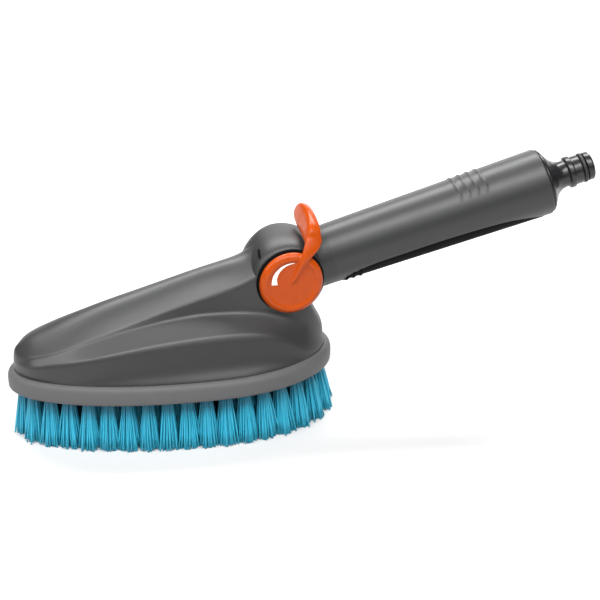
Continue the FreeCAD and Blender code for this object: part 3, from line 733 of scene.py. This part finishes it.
def add_grain(tree, shader, scale, strength):
    """A moulded grain: fine noise drives a small bump."""
    coords = tree.nodes.new("ShaderNodeTexCoord")
    noise = tree.nodes.new("ShaderNodeTexNoise")
    bump = tree.nodes.new("ShaderNodeBump")
    noise.inputs["Scale"].default_value = scale
    noise.inputs["Detail"].default_value = 3.0
    bump.inputs["Strength"].default_value = strength
    bump.inputs["Distance"].default_value = GRAIN_DEPTH
    tree.links.new(coords.outputs["Object"], noise.inputs["Vector"])
    tree.links.new(noise.outputs["Fac"], bump.inputs["Height"])
    tree.links.new(bump.outputs["Normal"], shader.inputs["Normal"])
    return coords


def vary_roughness(tree, shader, coords, low, high, scale):
    """Lets the roughness wander slowly over the surface, between low and high."""
    noise = tree.nodes.new("ShaderNodeTexNoise")
    spread = tree.nodes.new("ShaderNodeMapRange")
    noise.inputs["Scale"].default_value = scale
    spread.inputs["To Min"].default_value = low
    spread.inputs["To Max"].default_value = high
    tree.links.new(coords.outputs["Object"], noise.inputs["Vector"])
    tree.links.new(noise.outputs["Fac"], spread.inputs["Value"])
    tree.links.new(spread.outputs["Result"], shader.inputs["Roughness"])


def plastic(name, colour, low, high, grain=0.25, scale=2600, **more):
    """A moulded finish whose roughness lies between low and high; grain is the strength of its fine bumps."""
    mat, tree, shader = new_material(name, colour, (low + high) / 2, **more)
    coords = add_grain(tree, shader, scale, grain)
    vary_roughness(tree, shader, coords, low, high, 60)
    FINISHES[name] = mat


# %% Materials
plastic("shell_grey", (0.022, 0.0222, 0.0225), 0.40, 0.48, specular=0.52)
plastic("housing_grey", (0.019, 0.0192, 0.0195), 0.40, 0.48, specular=0.45)
plastic("handle_grey", (0.020, 0.0203, 0.0206), 0.38, 0.46, specular=0.5)
plastic("bumper_grey", (0.092, 0.092, 0.094), 0.50, 0.60, 0.35, 1800, specular=0.3)
plastic("plate_black", (0.012, 0.014, 0.016), 0.5, 0.6)
plastic("lever_orange", (0.38, 0.050, 0.001), 0.24, 0.32, 0.12, specular=0.22)
plastic("mark_white", (0.85, 0.84, 0.80), 0.4, 0.5)
plastic("grip_black", (0.003, 0.003, 0.0034), 0.70, 0.80, 0.4, 1500, specular=0.06)
plastic("nipple_black", (0.010, 0.010, 0.011), 0.24, 0.32, 0.1)
plastic("inner_natural", (0.5, 0.5, 0.47), 0.4, 0.5)
plastic("seal_rubber", (0.012, 0.012, 0.012), 0.5, 0.6)
plastic("steel", (0.55, 0.55, 0.55), 0.28, 0.38, 0.15, metallic=1.0)
print("finishes:", sorted(FINISHES))

# %% [markdown]
# Bristle nylon is a clear cyan. Towards the roots its colour is painted darker, as painted shade where little light
# gets in.

# %% Bristle material
mat, tree, shader = new_material("bristle_blue", (0.02, 0.36, 0.52), 0.42)
coords = tree.nodes.new("ShaderNodeTexCoord")
split = tree.nodes.new("ShaderNodeSeparateXYZ")
depth = tree.nodes.new("ShaderNodeMapRange")
ramp = tree.nodes.new("ShaderNodeValToRGB")
depth.inputs["From Min"].default_value = 0.0
depth.inputs["From Max"].default_value = 0.029
# Painted shade: the ramp runs from the bright cyan of the tips down to a dark blue at the roots.
ramp.color_ramp.elements[0].color = (0.030, 0.44, 0.62, 1)
ramp.color_ramp.elements[1].color = (0.004, 0.07, 0.13, 1)
middle = ramp.color_ramp.elements.new(0.55)
middle.color = (0.018, 0.33, 0.48, 1)
tree.links.new(coords.outputs["Object"], split.inputs["Vector"])
tree.links.new(split.outputs["Z"], depth.inputs["Value"])
tree.links.new(depth.outputs["Result"], ramp.inputs["Fac"])
tree.links.new(ramp.outputs["Color"], shader.inputs["Base Color"])
FINISHES["bristle_blue"] = mat

# %% Give every piece its finish
slots = {part["node"]: part["material_slot"] for part in frame["record"]["subparts"]}
for name, obj in frame["nodes"].items():
    obj.data.materials.clear()
    obj.data.materials.append(FINISHES[slots[name]])
# The black given to the ring behind the dial and to the slot lens on the drum is painted shade.
BY_PIECE = {
    "head_shell_skin": "shell_grey", "bumper_skin": "bumper_grey", "housing_skin": "housing_grey",
    "housing_neck": "housing_grey", "housing_slot": "grip_black", "dial_seal": "grip_black",
    "dial_lever_skin": "lever_orange", "flow_mark_inlay": "mark_white", "handle_skin": "handle_grey",
    "grip_strip_skin": "grip_black", "hose_nipple_skin": "nipple_black",
}
for row in range(4):
    BY_PIECE[f"tufts_row_{row + 1}_filaments"] = "bristle_blue"
for name, finish in BY_PIECE.items():
    bpy.data.objects[name].data.materials.append(FINISHES[finish])
print("pieces with a finish:", len(BY_PIECE) + len(frame["nodes"]))

# %% [markdown]
# ## Floor and light
#
# A pale sweep with soft lights: the key high in front, one overhead, a narrow strip lower in front for the handle's
# long highlight, one at the nose's side for the spine and the paddle, and a weak one behind. The floor
# is a middle tone under strong light, so it shows as white but throws little light back up under the brush. Far from
# the brush it glows a little, as a lit sweep does, so that it stays pale in every direction.

# %% Stage
bm = bmesh.new()
bmesh.ops.create_grid(bm, x_segments=1, y_segments=1, size=6.0)
floor = new_object("floor", to_mesh("floor", bm))
mat, tree, shader = new_material("floor_white", (0.60, 0.60, 0.60), 0.8, specular=0.1)
coords = tree.nodes.new("ShaderNodeTexCoord")
distance = tree.nodes.new("ShaderNodeVectorMath")
distance.operation = "LENGTH"
glow = tree.nodes.new("ShaderNodeMapRange")
glow.inputs["From Min"].default_value = 0.6
glow.inputs["From Max"].default_value = 1.6
tree.links.new(coords.outputs["Object"], distance.inputs[0])
tree.links.new(distance.outputs["Value"], glow.inputs["Value"])
tree.links.new(glow.outputs["Result"], shader.inputs["Emission Strength"])
shader.inputs["Emission Color"].default_value = (1, 1, 1, 1)
floor.data.materials.append(mat)


def look_along(obj, direction):
    """Turns a light or camera to face along a direction."""
    obj.rotation_euler = direction.to_track_quat("-Z", "Y").to_euler()


def soft_light(name, place, target, size, power):
    data = bpy.data.lights.new(name, "AREA")
    data.shape = "RECTANGLE"
    data.size, data.size_y = size
    data.energy = power
    obj = new_object(name, data)
    obj.location = place
    look_along(obj, Vector(target) - Vector(place))


soft_light("key", (-0.10, -0.55, 1.05), (0.0, 0.0, 0.06), (1.5, 0.40), 22)
soft_light("front", (0.15, -1.00, 0.72), (0.05, 0.0, 0.08), (1.5, 0.14), 2.5)
soft_light("nose_side", (-1.15, -0.25, 0.80), (0.0, 0.0, 0.08), (0.5, 0.5), 7)
soft_light("overhead", (0.1, 0.60, 1.0), (0.0, 0.0, 0.05), (1.4, 0.30), 22)
soft_light("back", (0.4, 1.1, 0.35), (0.0, 0.0, 0.08), (1.2, 0.25), 4)
world = bpy.data.worlds.new("studio")
world.use_nodes = True
world.node_tree.nodes["Background"].inputs["Color"].default_value = (1, 1, 1, 1)
world.node_tree.nodes["Background"].inputs["Strength"].default_value = 0.08
bpy.context.scene.world = world
bpy.context.scene.view_settings.view_transform = "Standard"

# %% [markdown]
# ## Camera
#
# It stands a metre away, a little towards the nose and well above the brush, and looks at the middle of the brush.

# %% Camera
azimuth, height = math.radians(-13.8), math.radians(25.5)
back = Vector((math.sin(azimuth) * math.cos(height), -math.cos(azimuth) * math.cos(height), math.sin(height)))
target = W(160.6, 0, 61.0)
camera = new_object("camera", bpy.data.cameras.new("camera"))
camera.location = target + back
look_along(camera, -back)
camera.data.lens = 109.8
camera.data.sensor_width = 36.0
camera.data.clip_start = 0.05
bpy.context.scene.camera = camera
print("camera at", [round(v, 3) for v in camera.location])
